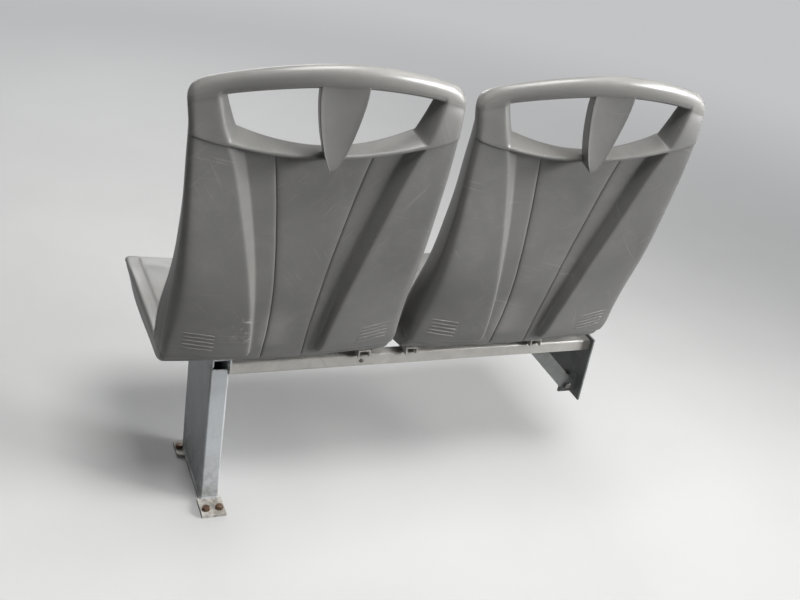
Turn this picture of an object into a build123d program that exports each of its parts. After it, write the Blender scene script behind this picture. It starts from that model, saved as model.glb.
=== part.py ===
from build123d import *
import os
from math import radians, sin, cos, tan

os.makedirs("parts", exist_ok=True)

# A twin passenger seat for a city bus: two moulded shells on one steel frame, which stands on
# one leg by the aisle and is bolted to the side wall at its other end.
# x runs from the aisle to the side wall, y towards the front of the bus, z up.
# The origin is on the floor, midway between the two rear floor bolts. Lengths are millimetres.

# Shells
shell_width = 440.0
shell_pitch = 458.0
aisle_shell_x = 95.0
back_lean = 10.5
back_y = -127.0
corner_height = 885.0
crown_rise = 63.0
shoulder_height = 9.0
crown_radius = 28.0
top_bulge = 46.0
bend_radius = 90.0
bend_strips = 5
corner_strips = 3
pan_under = 331.0
pan_front_y = 303.0
pan_nose_y = 355.0
nose_lift = 12.0

# Cross sections of a shell: half width at the rear skin, half width at the sitter's skin, bulge of
# the rear skin, thickness in the middle, thickness at the edge, and how far the round corner between
# the rear skin and the side reaches along the skin and down the side
top_section = (220, 218, 46, 26, 22, 9, 8)
low_section = (206, 219, 0, 36, 58, 34, 26)
front_section = (216, 227, 0, 38, 60, 26, 22)
nose_section = (212, 222, 0, 28, 40, 20, 18)

# Hand hold, as heights above the corners of the back
band_height = 32.0
slot_end_top = 177.0
slot_end_low = 171.0
slot_end_height = -2.0
slot_foot_height = -72.0
slot_foot_middle = -92.0
slot_end_slope = 1.0
slot_end_depth = 17.0
slot_top_radius = 8.0
slot_foot_radius = 10.0
rim_height = 7.0

# Wedge over the hand hold: heights above the corners, half widths, and distances out to the rear of
# its face at the head and at the tip, of its sitter's side and of its heel on the sunk panel
wedge_top = 42.0
wedge_arch = 11.0
wedge_middle = -42.0
wedge_tip = -112.0
wedge_half_top = 38.0
wedge_half_middle = 28.0
wedge_half_tip = 7.0
wedge_tip_arch = 6.0
wedge_head_out = 39.0
wedge_tip_out = 51.0
wedge_inner_out = 20.0
wedge_heel_out = 8.0
wedge_heel_height = -88.0

# The sunk panel between the flanks. Its rows: distance down from the corners, half width of the
# floor, and half width where the sloping walls meet the rear skin
recess_depth = 16.0
flank_foot = 527.0
recess_table = [
    (70, 138, 164),
    (156, 118, 142),
    (290, 92, 112),
    (440, 69, 79),
    (flank_foot, 61, 65),
]

# Leg and foot
leg_width = 35.0
leg_depth = 180.0
leg_rear_y = 33.0
leg_wall = 3.0
leg_bend = 4.0
leg_notch = 13.0
foot_thick = 6.0
foot_rear_y = -18.0
foot_front_y = 226.0
tongue_width = 47.0
neck_width = 40.0
ear_width = 70.0
ear_rear_y = 182.0
foot_taper = 8.0

# Rails, straps and wall bracket
rail_size = 25.0
rail_wall = 2.0
rail_bend = 3.0
rail_top = 315.0
strap_width = 25.0
strap_wall = 3.0
strap_offset = 49.0
strap_overhang = 10.0
wall_gap = 15.0
plate_thick = 4.0
plate_length = 206.0
plate_height = 150.0
plate_middle_z = 247.0
lug_length = 36.0
lug_height = 40.0
lug_thick = 5.0
strut_width = 30.0
strut_thick = 5.0
strut_slope = 45.0
strut_pin_gap = 22.0
strut_pin_z = 200.0

# Bolt holes
floor_hole = 4.5
rear_bolt_gap = 26.0
front_bolt_gap = 53.0
front_bolt_y = 204.0
wall_hole = 5.5
wall_bolt_gap_y = 86.0
wall_bolt_gap_z = 90.0
strut_hole = 4.5

# Worked out from the sizes above
half_width = shell_width / 2
pair_middle_x = aisle_shell_x + shell_pitch / 2
window_shell_x = aisle_shell_x + shell_pitch
leg_front_y = leg_rear_y + leg_depth
frame_middle_y = leg_rear_y + leg_depth / 2
leg_height = rail_top - foot_thick
rail_under = rail_top - rail_size
rear_rail_y = leg_rear_y + rail_size / 2
front_rail_y = leg_front_y - rail_size / 2
strap_from = leg_rear_y - strap_overhang
strap_to = leg_front_y + strap_overhang
wall_x = window_shell_x + half_width + wall_gap
strut_pin_x = wall_x - plate_thick - strut_pin_gap
lean = radians(back_lean)
bend_z = pan_under + bend_radius
low_z = bend_z - bend_radius * sin(lean)
low_y = back_y + (corner_height - low_z) * tan(lean)
bend_y = low_y + bend_radius * cos(lean)
back_length = (corner_height - low_z) / cos(lean)

# The plane of the two side edges of a back: x across, y up along the back, z out to the rear.
back_plane = Plane(origin=(0, back_y, corner_height), x_dir=(1, 0, 0), z_dir=(0, -cos(lean), -sin(lean)))


def round_corner(sizes):
    # The corner between the rear skin and the right side, a quarter of an ellipse in flat strips, as
    # x and depth
    half_out, half_in, bulge, thick, edge, along_skin, down_side = sizes
    start_x = half_out - along_skin
    start_depth = bulge * (start_x / half_out) ** 2
    end_x = half_out + (half_in - half_out) * down_side / edge
    end_depth = bulge + down_side
    points = []
    for index in range(corner_strips + 1):
        angle = radians(90) * index / corner_strips
        x = start_x + (end_x - start_x) * sin(angle)
        points.append((x, end_depth + (start_depth - end_depth) * cos(angle)))
    return points


def shell_section(y, z, turn, sizes):
    # turn is 0 for a section straight down and 90 for one along the pan, in degrees
    half_out, half_in, bulge, thick, edge, along_skin, down_side = sizes
    angle = radians(turn)

    def at(x, depth):
        return (x, y + depth * cos(angle), z + depth * sin(angle))

    corner = round_corner(sizes)
    start_x, start_depth = corner[0]
    high = bulge + edge
    if bulge:
        outer = ThreePointArc(at(-start_x, start_depth), at(0, 0), at(start_x, start_depth))
    else:
        outer = Line(at(-start_x, start_depth), at(start_x, start_depth))
    right = Polyline(*[at(x, depth) for x, depth in corner], at(half_in, high))
    inner = ThreePointArc(at(half_in, high), at(0, thick), at(-half_in, high))
    left = Polyline(at(-half_in, high), *[at(-x, depth) for x, depth in reversed(corner)])
    return Wire(outer.edges() + right.edges() + inner.edges() + left.edges())


def shell_bend():
    # The round bend under the back: a solid of revolution whose sitter's side is hollowed in a few
    # strips. Its outlines are drawn on the plane of the bend's axis, y pointing away from that axis.
    half_out, half_in, bulge, thick, edge, along_skin, down_side = low_section
    slant = (half_in - half_out) / edge
    past = 15
    half_past = half_in + slant * past
    inner = bend_radius - edge - past
    rise = edge - thick
    arc_radius = (half_in ** 2 + rise ** 2) / (2 * rise)
    crest = bend_radius - thick

    def turned(turn):
        angle = radians(turn)
        return Plane(origin=(0, bend_y, bend_z), x_dir=(1, 0, 0), z_dir=(0, sin(angle), -cos(angle)))

    right = [(x, bend_radius - depth) for x, depth in round_corner(low_section)] + [(half_past, inner)]
    left = [(-x, y) for x, y in reversed(right)]
    solid_face = make_face(Polyline(*right, *left, close=True))
    body = revolve(turned(back_lean) * solid_face, Axis((0, bend_y, bend_z), (1, 0, 0)), 90 - back_lean)
    cap = Pos(0, crest - arc_radius) * Circle(arc_radius)
    cap = cap & Pos(0, crest) * Rectangle(2 * half_past + 2 * past, 2 * (crest - inner + past / 3))
    step = (90 - back_lean) / bend_strips
    wires = [(turned(back_lean + step * index) * cap).wire() for index in range(bend_strips + 1)]
    return body - Solid.make_loft(wires, ruled=True)


def shell_body():
    # The plain moulding, back, bend and pan in one
    above = 100
    top_z = corner_height + above
    top_y = back_y - above * tan(lean) - top_bulge
    top = shell_section(top_y, top_z, back_lean, top_section)
    low = shell_section(low_y, low_z, back_lean, low_section)
    rear = shell_section(bend_y, pan_under, 90, low_section)
    front = shell_section(pan_front_y, pan_under, 90, front_section)
    nose = shell_section(pan_nose_y, pan_under + nose_lift, 90, nose_section)
    back = Solid.make_loft([top, low], ruled=True)
    pan = Solid.make_loft([rear, front], ruled=True)
    lip = Solid.make_loft([front, nose], ruled=True)
    return Part() + [back, shell_bend(), pan, lip]


def back_outline():
    # The back seen square on, with its arched crown and round top corners. Low down it only clears
    # the shell.
    trimmed = -120
    flared = -200
    bottom = -760
    wide = half_width + 40
    crown = ThreePointArc((-half_width, shoulder_height), (0, crown_rise), (half_width, shoulder_height))
    sides = Polyline((half_width, shoulder_height), (half_width, trimmed), (wide, flared), (wide, bottom),
                     (-wide, bottom), (-wide, flared), (-half_width, trimmed), (-half_width, shoulder_height))
    outline = make_face([crown, sides])
    corners = outline.vertices().sort_by(Axis.Y)[-2:]
    return fillet(corners, crown_radius)


def slot_outline(out):
    # The whole hand hold at a distance out behind the plane of the side edges: its ends slope inwards
    # towards the sitter, its top and foot run straight through
    widen = (out - slot_end_depth) * slot_end_slope
    wide_top = slot_end_top + widen
    wide_low = slot_end_low + widen
    middle = crown_rise - band_height
    ends = middle - (middle - slot_end_height) * (wide_top / slot_end_top) ** 2
    foot_ends = slot_foot_middle + (slot_foot_height - slot_foot_middle) * (wide_low / slot_end_low) ** 2
    top = ThreePointArc((-wide_top, ends), (0, middle), (wide_top, ends))
    foot = ThreePointArc((wide_low, foot_ends), (0, slot_foot_middle), (-wide_low, foot_ends))
    right = Line((wide_top, ends), (wide_low, foot_ends))
    left = Line((-wide_low, foot_ends), (-wide_top, ends))
    outline = make_face([top, right, foot, left])
    outline = fillet(outline.vertices().sort_by(Axis.Y)[-2:], slot_top_radius)
    return fillet(outline.vertices().sort_by(Axis.Y)[:2], slot_foot_radius)


def hand_hold():
    # What the hand hold takes out of the shell
    behind = 60
    ahead = -30
    wires = [(back_plane.offset(out) * slot_outline(out)).wire() for out in (behind, ahead)]
    return Solid.make_loft(wires, ruled=True)


def wedge_outline():
    # The wedge that comes down from the crown band over the foot of the hand hold
    ends = wedge_top - wedge_arch
    tip_ends = wedge_tip + wedge_tip_arch
    head = ThreePointArc((-wedge_half_top, ends), (0, wedge_top), (wedge_half_top, ends))
    right = ThreePointArc((wedge_half_top, ends), (wedge_half_middle, wedge_middle), (wedge_half_tip, tip_ends))
    tip = ThreePointArc((wedge_half_tip, tip_ends), (0, wedge_tip), (-wedge_half_tip, tip_ends))
    left = ThreePointArc((-wedge_half_tip, tip_ends), (-wedge_half_middle, wedge_middle),
                         (-wedge_half_top, ends))
    return make_face([head, right, tip, left])


def rear_skin(x, down):
    # How far the rear skin stands out behind the plane of the side edges
    share = (down + 100) / (back_length + 100)
    half = top_section[0] + (low_section[0] - top_section[0]) * share
    return top_bulge * (1 - share) * (1 - (x / half) ** 2)


def recess_section(down, floor_half, top_half):
    # Cross section of what the sunk panel takes out, its walls carried on past the skin
    floor_edge = rear_skin(floor_half, down) - recess_depth
    floor_middle = rear_skin(0, down) - recess_depth
    past = 2 * top_half - floor_half
    past_edge = 2 * rear_skin(top_half, down) - floor_edge
    clear = 2 * top_bulge
    floor = ThreePointArc((-floor_half, -down, floor_edge), (0, -down, floor_middle),
                          (floor_half, -down, floor_edge))
    rest = Polyline((floor_half, -down, floor_edge), (past, -down, past_edge), (past, -down, clear),
                    (-past, -down, clear), (-past, -down, past_edge), (-floor_half, -down, floor_edge))
    return Wire(floor.edges() + rest.edges())


def recess():
    # What the sunk panel takes out of the shell, from under the rim down to the foot of the flanks
    wires = [recess_section(*row) for row in recess_table]
    trough = Solid.make_loft(wires, ruled=True)
    wide = half_width
    bottom = -flank_foot - 40
    middle = slot_foot_middle - rim_height
    ends = middle + (slot_foot_height - slot_foot_middle) * (wide / slot_end_low) ** 2
    rim = ThreePointArc((-wide, ends), (0, middle), (wide, ends))
    rest = Polyline((wide, ends), (wide, bottom), (-wide, bottom), (-wide, ends))
    below_rim = extrude(make_face([rim, rest]), amount=shell_width / 2, both=True)
    return back_plane.location * (trough & below_rim)


def flank_ledge():
    # What is taken off below the flanks, down to the depth of the sunk panel
    height = 100
    block = Pos(0, -flank_foot - height / 2, height / 2 - recess_depth) * Box(2 * shell_width, height, height)
    return back_plane.location * block


def side_prism(points):
    # Prism across the wedge from points given as height above the corners and distance out
    side_plane = Plane(origin=back_plane.origin, x_dir=back_plane.y_dir, z_dir=(1, 0, 0))
    return extrude(side_plane * make_face(Polyline(*points, close=True)), amount=shell_width / 4, both=True)


def wedge_parts():
    # The wedge, and what lies behind its face, where its head is sunk in the crown band
    reach = 60
    prism = extrude(back_plane.offset(wedge_heel_out) * wedge_outline(), amount=reach)
    far = wedge_heel_out + 2 * reach
    tip = (wedge_tip, wedge_tip_out)
    head = (wedge_top, wedge_head_out)
    behind = side_prism([tip, head, (wedge_top, far), (wedge_tip, far)])
    near = wedge_heel_out - reach
    ahead = side_prism([(wedge_heel_height, near), (wedge_heel_height, wedge_inner_out),
                        (wedge_top, wedge_inner_out), (wedge_top, near)])
    return prism - behind - ahead, prism & behind


def seat_shell():
    # One moulded shell, with its middle at x 0
    body = shell_body() & extrude(back_plane * back_outline(), amount=shell_width, both=True)
    body = body - hand_hold() - recess() - flank_ledge()
    wedge, behind = wedge_parts()
    return body - behind + wedge


def rail(middle_y):
    # Square tube from the leg to the wall plate
    outside = Rectangle(rail_size, rail_size)
    outside = fillet(outside.vertices(), rail_bend)
    inside = Rectangle(rail_size - 2 * rail_wall, rail_size - 2 * rail_wall)
    start = leg_width / 2
    tube = extrude(Plane.YZ * (outside - inside), amount=wall_x - plate_thick - start)
    return Pos(start, middle_y, rail_top - rail_size / 2) * tube


def foot_plate():
    # Floor plate: a tongue behind the leg, and an ear on each side at the front
    tongue = tongue_width / 2
    neck = neck_width / 2
    ear = ear_width / 2
    right = [
        (tongue, foot_rear_y), (tongue, leg_rear_y), (neck, leg_rear_y + foot_taper),
        (neck, ear_rear_y - foot_taper), (ear, ear_rear_y), (ear, foot_front_y),
    ]
    left = [(-x, y) for x, y in reversed(right)]
    outline = make_face(Polyline(*right, *left, close=True))
    holes = Sketch() + [Pos(side * rear_bolt_gap / 2, 0) * Circle(floor_hole) for side in (-1, 1)]
    holes += [Pos(side * front_bolt_gap / 2, front_bolt_y) * Circle(floor_hole) for side in (-1, 1)]
    return extrude(outline - holes, amount=foot_thick)


def leg_box():
    # The folded leg: rear wall and both sides in one sheet, the rear wall cut lower at its top
    outside = Rectangle(leg_width, leg_depth)
    outside = fillet(outside.vertices().sort_by(Axis.Y)[:2], leg_bend)
    inner_width = leg_width - 2 * leg_wall
    inside = Pos(0, leg_wall) * Rectangle(inner_width, leg_depth)
    folded = Pos(0, frame_middle_y, foot_thick) * extrude(outside - inside, amount=leg_height)
    notch = Pos(0, leg_rear_y, rail_top) * Box(inner_width, 4 * leg_wall, 2 * leg_notch)
    return folded - notch


def leg_front_plate():
    # Plate welded between the sides of the leg, which closes its front
    width = leg_width - 2 * leg_wall
    middle_y = leg_front_y - leg_wall / 2
    return Pos(0, middle_y, foot_thick + leg_height / 2) * Box(width, leg_wall, leg_height)


def channel(middle_x, width):
    # Channel that opens downwards and lies across both rails, under a shell
    height = pan_under - rail_top
    outside = Pos(0, height / 2) * Rectangle(width, height)
    inside = Pos(0, (height - strap_wall) / 2) * Rectangle(width - 2 * strap_wall, height - strap_wall)
    front = Plane(origin=(middle_x, strap_to, rail_top), x_dir=(1, 0, 0), z_dir=(0, -1, 0))
    return extrude(front * (outside - inside), amount=strap_to - strap_from)


def wall_plate():
    middle = Pos(wall_x - plate_thick / 2, frame_middle_y, plate_middle_z)
    plate = middle * Box(plate_thick, plate_length, plate_height)
    for side_y in (-1, 1):
        for side_z in (-1, 1):
            corner = Pos(0, side_y * wall_bolt_gap_y / 2, side_z * wall_bolt_gap_z / 2)
            plate -= middle * corner * Rot(0, 90, 0) * Cylinder(wall_hole, 4 * plate_thick)
    return plate


def lug(middle_y):
    # Ear on the wall plate that the lower end of a strut is bolted to
    face = Pos(wall_x - plate_thick - lug_length / 2, strut_pin_z) * Rectangle(lug_length, lug_height)
    face -= Pos(strut_pin_x, strut_pin_z) * Circle(strut_hole)
    plane = Plane(origin=(0, middle_y + lug_thick, 0), x_dir=(1, 0, 0), z_dir=(0, -1, 0))
    return extrude(plane * face, amount=lug_thick)


def strut(middle_y):
    # Flat bar that slopes from the lug up to the underside of a rail
    reach = 200
    bar = Circle(strut_width / 2) + Pos(0, reach / 2) * Rectangle(strut_width, reach)
    bar -= Circle(strut_hole)
    bar = Pos(strut_pin_x, strut_pin_z) * Rot(0, 0, strut_slope) * bar
    plane = Plane(origin=(0, middle_y, 0), x_dir=(1, 0, 0), z_dir=(0, -1, 0))
    above = Pos(strut_pin_x - reach, middle_y, rail_under + reach) * Box(3 * reach, rail_size, 2 * reach)
    return extrude(plane * bar, amount=strut_thick) - above


shell = seat_shell()

pieces = {
    "foot_plate": foot_plate(),
    "leg_box": leg_box(),
    "leg_front_plate": leg_front_plate(),
    "leg_head": channel(0, leg_width),
    "rail_rear": rail(rear_rail_y),
    "rail_front": rail(front_rail_y),
    "strap_aisle_shell": channel(pair_middle_x - strap_offset, strap_width),
    "strap_window_shell": channel(pair_middle_x + strap_offset, strap_width),
    "strap_wall_side": channel(2 * pair_middle_x, strap_width),
    "wall_plate": wall_plate(),
    "lug_rear": lug(rear_rail_y),
    "lug_front": lug(front_rail_y),
    "strut_rear": strut(rear_rail_y),
    "strut_front": strut(front_rail_y),
    "shell_aisle": Pos(aisle_shell_x, 0, 0) * shell,
    "shell_window": Pos(window_shell_x, 0, 0) * shell,
}

for name, piece in pieces.items():
    export_step(piece, f"parts/{name}.step")
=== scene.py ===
import bpy
import bmesh
import math
import numpy as np
from mathutils import Vector, Matrix


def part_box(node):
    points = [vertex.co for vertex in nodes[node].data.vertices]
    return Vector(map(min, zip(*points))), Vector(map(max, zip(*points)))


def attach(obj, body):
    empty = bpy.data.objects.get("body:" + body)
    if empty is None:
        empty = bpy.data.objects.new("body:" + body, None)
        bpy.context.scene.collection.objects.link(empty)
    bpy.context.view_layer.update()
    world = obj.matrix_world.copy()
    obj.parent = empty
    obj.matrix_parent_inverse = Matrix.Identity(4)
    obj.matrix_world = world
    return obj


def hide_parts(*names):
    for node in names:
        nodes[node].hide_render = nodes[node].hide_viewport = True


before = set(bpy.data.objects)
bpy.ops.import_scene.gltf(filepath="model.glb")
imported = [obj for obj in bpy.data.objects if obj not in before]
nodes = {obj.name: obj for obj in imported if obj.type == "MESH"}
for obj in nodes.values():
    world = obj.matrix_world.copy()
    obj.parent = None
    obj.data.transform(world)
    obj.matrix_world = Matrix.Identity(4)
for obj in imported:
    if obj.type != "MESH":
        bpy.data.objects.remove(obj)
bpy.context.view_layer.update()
print("frame loaded:", len(nodes), "nodes")

# Lengths are metres. x runs from the aisle to the side wall, y the way the sitter faces, z up.

view = {
    "eye": (-0.4325, -1.5755, 1.367),   # where the photograph was taken from, in this frame
    "heading": 1.147,                   # degrees left of the y axis
    "pitch": 14.87,                     # degrees down
    "aim": (0.318, 0.0, 0.452),         # the camera is turned from there to the seat
    "lens": 48.0,
    "sensor": 36.0,
    "clipEnd": 50.0,
}


def addObject(name, data):
    added = bpy.data.objects.new(name, data)
    bpy.context.scene.collection.objects.link(added)
    return added


def makeCamera():
    data = bpy.data.cameras.new("camera")
    data.lens = view["lens"]
    data.sensor_width = view["sensor"]
    data.clip_end = view["clipEnd"]
    camera = addObject("camera", data)
    h, p = math.radians(view["heading"]), math.radians(view["pitch"])
    forward = Vector((-math.sin(h) * math.cos(p), math.cos(h) * math.cos(p), -math.sin(p)))
    aim = (Vector(view["aim"]) - Vector(view["eye"])).normalized()
    turn = forward.rotation_difference(aim)             # the shortest turn keeps the photograph's lean
    camera.location = view["eye"]
    camera.rotation_mode = "QUATERNION"
    camera.rotation_quaternion = turn @ forward.to_track_quat("-Z", "Y")
    bpy.context.scene.camera = camera


makeCamera()
print("camera placed")


# Shader helpers that the groups and materials share. New nodes go to the tree that was started last.

building = {"tree": None}


def feed(node, inputs):
    # a number or a tuple is set, a colour with full alpha; anything else is linked
    for key, value in inputs.items():
        socket = node.inputs[key]
        if isinstance(value, (int, float)):
            socket.default_value = value
        elif isinstance(value, tuple):
            socket.default_value = value + (1.0,) * (len(socket.default_value) - len(value))
        else:
            building["tree"].links.new(value, socket)


def addNode(kind, settings=None, inputs=None):
    node = building["tree"].nodes.new(kind)
    for key, value in (settings or {}).items():
        setattr(node, key, value)
    feed(node, inputs or {})
    return node


def mathNode(operation, a, b, clamp=False):
    settings = {"operation": operation, "use_clamp": clamp}
    return addNode("ShaderNodeMath", settings, {0: a, 1: b}).outputs[0]


def times(a, b, clamp=False):
    return mathNode("MULTIPLY", a, b, clamp)


def plus(a, b):
    return mathNode("ADD", a, b)


def mixColor(factor, a, b, blend="MIX"):
    settings = {"data_type": "RGBA", "blend_type": blend}
    return addNode("ShaderNodeMix", settings, {0: factor, 6: a, 7: b}).outputs[2]


def coatColor(color, mask, share, coat):
    return mixColor(times(mask, share), color, coat)


def rampNode(source, low, high):
    return addNode("ShaderNodeMapRange", {"interpolation_type": "SMOOTHSTEP"},
                   {"Value": source, "From Min": low, "From Max": high}).outputs["Result"]


def noiseNode(vector, scale, detail, roughness=0.5, distortion=0.0, output="Fac"):
    inputs = {"Vector": vector, "Scale": scale, "Detail": detail, "Roughness": roughness,
              "Distortion": distortion}
    return addNode("ShaderNodeTexNoise", None, inputs).outputs[output]


def bumpNode(height, strength, distance):
    inputs = {"Height": height, "Strength": strength, "Distance": distance}
    return addNode("ShaderNodeBump", None, inputs).outputs[0]


def vectorNode(operation, inputs):
    return addNode("ShaderNodeVectorMath", {"operation": operation}, inputs).outputs


def splitVector(vector):
    return addNode("ShaderNodeSeparateXYZ", None, {"Vector": vector}).outputs


def newGroup(name, inputs, outputs):
    # each group takes a place and plain numbers, and gives plain numbers
    group = bpy.data.node_groups.new(name, "ShaderNodeTree")
    group.interface.new_socket(name="Vector", in_out="INPUT", socket_type="NodeSocketVector")
    for label, value in inputs.items():
        socket = group.interface.new_socket(name=label, in_out="INPUT", socket_type="NodeSocketFloat")
        socket.default_value = value
    for label in outputs:
        group.interface.new_socket(name=label, in_out="OUTPUT", socket_type="NodeSocketFloat")
    building["tree"] = group
    return group, addNode("NodeGroupInput").outputs, addNode("NodeGroupOutput")


def grainGroup():
    # Fine moulded grain: small cells with a soft noise over them
    group, start, end = newGroup("mouldedGrain", {"Cell Size": 0.0012, "Unevenness": 0.5}, ("Height", "Tone"))
    scale = mathNode("DIVIDE", 1.0, start["Cell Size"])
    cells = addNode("ShaderNodeTexVoronoi", {"feature": "SMOOTH_F1"},
                    {"Vector": start["Vector"], "Scale": scale, "Smoothness": 0.6})
    waves = noiseNode(start["Vector"], times(scale, 0.35), 3.0, 0.6)
    height = plus(cells.outputs["Distance"], times(waves, start["Unevenness"]))
    feed(end, {"Height": height, "Tone": noiseNode(start["Vector"], 9.0, 6.0, 0.62)})
    return group


def scratchGroup():
    # Hair lines in three directions: noise drawn out long, kept only at its peaks and in patches
    group, start, end = newGroup("scratches", {"Amount": 0.5, "Scale": 90.0, "Length": 0.03}, ("Mask",))
    bend = noiseNode(start["Vector"], 3.0, 1.0, output="Color")
    shift = vectorNode("SCALE", {0: bend, "Scale": 0.10})[0]
    moved = vectorNode("ADD", {0: start["Vector"], 1: shift})[0]
    total = None
    for turn, seed in ((0.5, 3.1), (1.35, 11.7), (-0.7, 23.9)):
        turned = addNode("ShaderNodeMapping", None,
                         {"Vector": moved, "Location": (seed, seed * 0.7, seed * 1.3),
                          "Rotation": (0.0, turn, 0.0)}).outputs[0]
        parts = splitVector(turned)
        drawn = addNode("ShaderNodeCombineXYZ", None,
                        {"X": parts["X"], "Y": times(parts["Y"], 0.2),
                         "Z": times(parts["Z"], start["Length"])}).outputs[0]
        line = rampNode(noiseNode(drawn, start["Scale"], 2.0), 0.66, 0.72)
        patches = rampNode(noiseNode(turned, 7.0, 3.0), 0.50, 0.62)
        stroke = times(line, patches)
        total = stroke if total is None else mathNode("MAXIMUM", total, stroke)
    feed(end, {"Mask": times(total, start["Amount"])})
    return group


def edgeWearAndHighlightGroup():
    # Convex edges found from the mesh itself, broken up by noise, for edge wear and a painted highlight
    group, start, end = newGroup("convexEdgeWearAndHighlight", {"Low": 0.51, "High": 0.60, "Breakup": 0.5}, ("Mask",))
    pointiness = addNode("ShaderNodeNewGeometry").outputs["Pointiness"]
    noise = noiseNode(start["Vector"], 60.0, 5.0, 0.7)
    offset = times(mathNode("SUBTRACT", noise, 0.5), times(start["Breakup"], 0.2))
    edge = plus(pointiness, offset)
    feed(end, {"Mask": rampNode(edge, start["Low"], start["High"])})
    return group


def dustGroup():
    # Dust on faces that look up, patchy
    group, start, end = newGroup("dust", {"Amount": 0.4, "Patch Scale": 12.0}, ("Mask",))
    normal = addNode("ShaderNodeNewGeometry").outputs["Normal"]
    up = rampNode(splitVector(normal)["Z"], 0.15, 0.95)
    patches = rampNode(noiseNode(start["Vector"], start["Patch Scale"], 7.0, 0.65), 0.32, 0.72)
    feed(end, {"Mask": times(times(up, patches), start["Amount"])})
    return group


groups = {
    "grain": grainGroup(),
    "scratches": scratchGroup(),
    "convexEdgeWearAndHighlight": edgeWearAndHighlightGroup(),
    "dust": dustGroup(),
}
# shares that the shell's vertices carry: scuffed, painted shade along a groove, scraped white, rubbed smooth
# with a painted sheen
zoneNames = ("scuffZone", "grooveShadeZone", "markZone", "polishAndSheenZone")


def placeGroup(name, place, values):
    return addNode("ShaderNodeGroup", {"node_tree": groups[name]}, {"Vector": place, **values}).outputs


def scratchMask(place, amount, scale, length):
    return placeGroup("scratches", place, {"Amount": amount, "Scale": scale, "Length": length})["Mask"]


def startMaterial(name):
    material = bpy.data.materials.new(name)
    material.use_nodes = True
    building["tree"] = material.node_tree
    place = addNode("ShaderNodeNewGeometry").outputs["Position"]
    return material, material.node_tree.nodes["Principled BSDF"], place


plasticLook = {
    "base": (0.176, 0.174, 0.166),
    "dark": (0.146, 0.145, 0.140),
    "wornAndHighlight": (0.32, 0.315, 0.30),
    "scratch": (0.36, 0.355, 0.34),
    "mark": (0.52, 0.51, 0.48),
    "grooveShadeColor": (0.035, 0.034, 0.031),
    "dustColor": (0.33, 0.315, 0.285),
    "hazeShare": 0.20,          # how much of each layer of wear, painted sheen and painted highlight shows
    "polishAndSheenShare": 0.45,
    "scratchShare": 0.40,
    "markShare": 0.85,
    "wearAndHighlightShare": 0.70,
    "dustShare": 0.28,
    "roughness": 0.37,
    "grainSize": 0.0011,
    "grainDepth": 0.00008,
    "grainStrength": 0.5,
}


def makePlastic():
    material, shader, place = startMaterial("greyMouldedPlastic")
    look = plasticLook
    scuffZone, grooveShadeZone, markZone, polishAndSheenZone = [
        addNode("ShaderNodeAttribute", {"attribute_name": zone}).outputs["Fac"] for zone in zoneNames]
    grain = placeGroup("grain", place, {"Cell Size": look["grainSize"], "Unevenness": 0.6})
    color = mixColor(rampNode(grain["Tone"], 0.30, 0.72), look["dark"], look["base"])
    cloud = noiseNode(place, 13.0, 9.0, 0.70, 0.8)
    haze = times(rampNode(cloud, 0.48, 0.76), scuffZone)
    color = coatColor(color, haze, look["hazeShare"], look["wornAndHighlight"])
    # rubbed smooth, and lightened further as a painted sheen that stands in for the light caught there
    rubbedAndSheen = plus(times(cloud, 0.6), 0.55)
    polishAndSheen = times(rampNode(polishAndSheenZone, 0.05, 1.0), rubbedAndSheen)
    color = coatColor(color, polishAndSheen, look["polishAndSheenShare"], look["wornAndHighlight"])
    coarse, fine = scratchMask(place, 0.7, 110.0, 0.035), scratchMask(place, 0.45, 260.0, 0.06)
    strokes = times(mathNode("MAXIMUM", coarse, fine), plus(times(scuffZone, 0.75), 0.15))
    color = coatColor(color, strokes, look["scratchShare"], look["scratch"])
    blots = rampNode(noiseNode(place, 42.0, 9.0, 0.72, 0.5), 0.51, 0.62)
    smears = mathNode("MAXIMUM", blots, scratchMask(place, 1.0, 48.0, 0.30))
    marks = times(smears, rampNode(markZone, 0.15, 0.9))
    color = coatColor(color, marks, look["markShare"], look["mark"])
    # convex edges lightened: worn, and a painted highlight along the hand hold's lips
    edgeWearAndHighlight = placeGroup("convexEdgeWearAndHighlight", place, {"Low": 0.515, "High": 0.60, "Breakup": 0.35})["Mask"]
    color = coatColor(color, edgeWearAndHighlight, look["wearAndHighlightShare"], look["wornAndHighlight"])
    dust = placeGroup("dust", place, {"Amount": look["dustShare"], "Patch Scale": 11.0})["Mask"]
    color = mixColor(dust, color, look["dustColor"])
    # a near black line along the grooves, a painted shade
    color = mixColor(rampNode(grooveShadeZone, 0.42, 0.90), color, look["grooveShadeColor"])
    rough = look["roughness"]
    for mask, change in ((haze, 0.14), (dust, 0.35), (edgeWearAndHighlight, -0.08), (polishAndSheen, -0.10)):
        rough = plus(rough, times(mask, change))
    height = mathNode("SUBTRACT", grain["Height"], times(strokes, 0.6))
    feed(shader, {"Base Color": color, "Roughness": rough,
                  "Normal": bumpNode(height, look["grainStrength"], look["grainDepth"])})
    return material


def makePaint(look):
    # Paint on steel: a slight orange peel, cloudy shade, fine marks, and dirt mostly low down
    material, shader, place = startMaterial(look["name"])
    cloud = noiseNode(place, 22.0, 8.0, 0.68)
    color = mixColor(rampNode(cloud, 0.35, 0.70), look["base"], look["shade"])
    low = rampNode(splitVector(place)["Z"], look["dirtTop"], 0.0)
    patches = rampNode(noiseNode(place, 48.0, 9.0, 0.75), 0.38, 0.66)
    grime = times(patches, plus(times(low, 0.6), look["grime"]), clamp=True)
    color = mixColor(grime, color, look["grimeColor"])
    marks = scratchMask(place, 0.8, 120.0, 0.05)
    color = coatColor(color, marks, look["marks"], look["markColor"])
    rough = plus(look["roughness"], times(grime, 0.3))
    height = mathNode("SUBTRACT", noiseNode(place, 420.0, 2.0), times(marks, 0.8))
    feed(shader, {"Base Color": color, "Roughness": rough, "Normal": bumpNode(height, 0.35, 0.0002)})
    return material


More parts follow.
